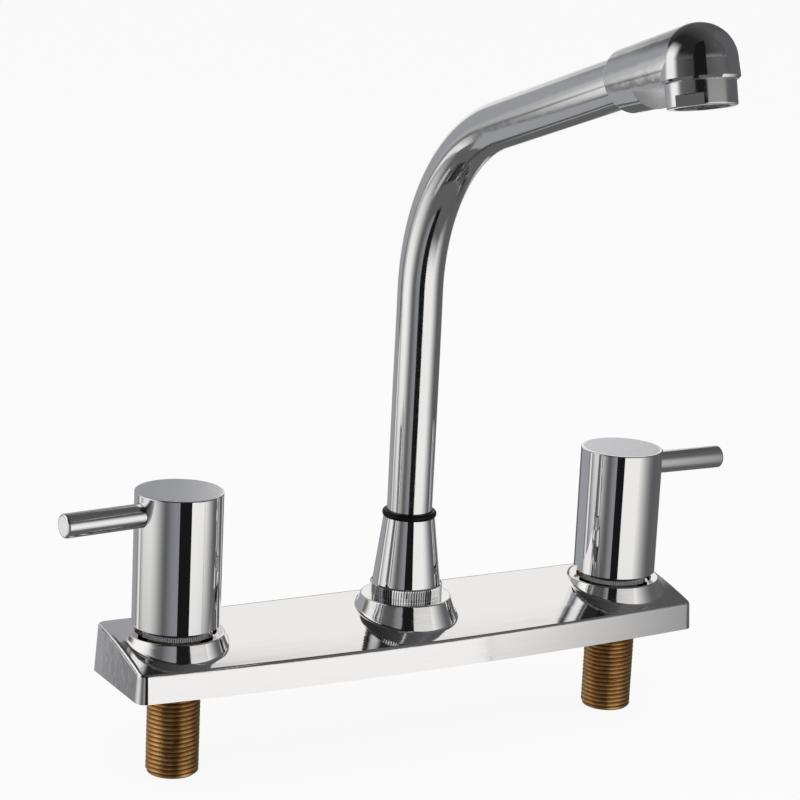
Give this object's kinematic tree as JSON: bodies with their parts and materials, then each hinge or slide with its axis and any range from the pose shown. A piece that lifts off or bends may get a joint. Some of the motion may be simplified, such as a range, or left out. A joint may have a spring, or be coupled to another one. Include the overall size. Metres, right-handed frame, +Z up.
{
  "type": "two handle kitchen faucet",
  "caption": "Kitchen faucet: crowned deck plate, high swivelling bent-tube spout with an aerator nose, knurled tapered spout nut, and cylinder handles with pin levers at the plate's ends.",
  "frame": {"origin": "on the sink deck, on the spout's swivel axis, in the middle of the deck plate", "axes": "+Z up out of the deck, -Y towards the user over the basin, +X to the user's right; the hot valve is on the -X side"},
  "size_m": [0.3026, 0.2123, 0.3067],
  "materials": {
    "deck_plate": "polished sides, satin top",
    "handle": "polished",
    "lever": "polished",
    "lock_ring": "polished knurl",
    "spout_tube": "polished",
    "spout_nut": "polished, knurled foot band",
    "spout_nose": "polished",
    "aerator_housing": "polished",
    "guide_ring": "black, satin",
    "aerator_insert": "dark grey, satin",
    "brass": "cast and turned",
    "shank": "threaded, oiled and a little tarnished",
    "copper_tube": "drawn tube",
    "cartridge_brass": "turned",
    "disc": "lapped ceramic",
    "rubber": "black",
    "steel": "bright steel",
    "white_plastic": "low friction plastic"
  },
  "bodies": {
    "base": {"deck_plate": "deck_plate", "spout_hub": "brass", "spout_nut": "spout_nut", "spout_thrust_washer": "white_plastic", "spout_guide_ring": "guide_ring", "hot_inlet_shank": "shank", "hot_valve_body": "brass", "hot_crossover_tube": "copper_tube", "hot_lock_ring": "lock_ring", "hot_bonnet": "cartridge_brass", "hot_bonnet_o_ring": "rubber", "hot_seat_seal": "rubber", "hot_fixed_disc": "disc", "cold_inlet_shank": "shank", "cold_valve_body": "brass", "cold_crossover_tube": "copper_tube", "cold_lock_ring": "lock_ring", "cold_bonnet": "cartridge_brass", "cold_bonnet_o_ring": "rubber", "cold_seat_seal": "rubber", "cold_fixed_disc": "disc"},
    "spout": {"spout_tube": "spout_tube", "spout_collar": "cartridge_brass", "spout_o_rings": "rubber", "spout_nose": "spout_nose", "aerator_housing": "aerator_housing", "aerator_insert": "aerator_insert", "aerator_screen": "steel", "aerator_washer": "rubber"},
    "hot_control": {"hot_handle": "handle", "hot_lever": "lever", "hot_grub_screw": "steel", "hot_stem": "cartridge_brass", "hot_moving_disc": "disc", "hot_stem_o_rings": "rubber", "hot_stem_clip": "steel"},
    "cold_control": {"cold_handle": "handle", "cold_lever": "lever", "cold_grub_screw": "steel", "cold_stem": "cartridge_brass", "cold_moving_disc": "disc", "cold_stem_o_rings": "rubber", "cold_stem_clip": "steel"}
  },
  "joints": [
    {"name": "spout_swivel", "type": "hinge", "parent": "base", "child": "spout", "pos_m": [0, 0, 0.02], "axis": [0, 0, 1], "continuous": true},
    {"name": "hot_turn", "type": "hinge", "parent": "base", "child": "hot_control", "pos_m": [-0.1016, 0, 0.06], "axis": [0, 0, 1], "range_deg": [0, 90]},
    {"name": "cold_turn", "type": "hinge", "parent": "base", "child": "cold_control", "pos_m": [0.1016, 0, 0.06], "axis": [0, 0, 1], "range_deg": [-90, 0]}
  ]
}
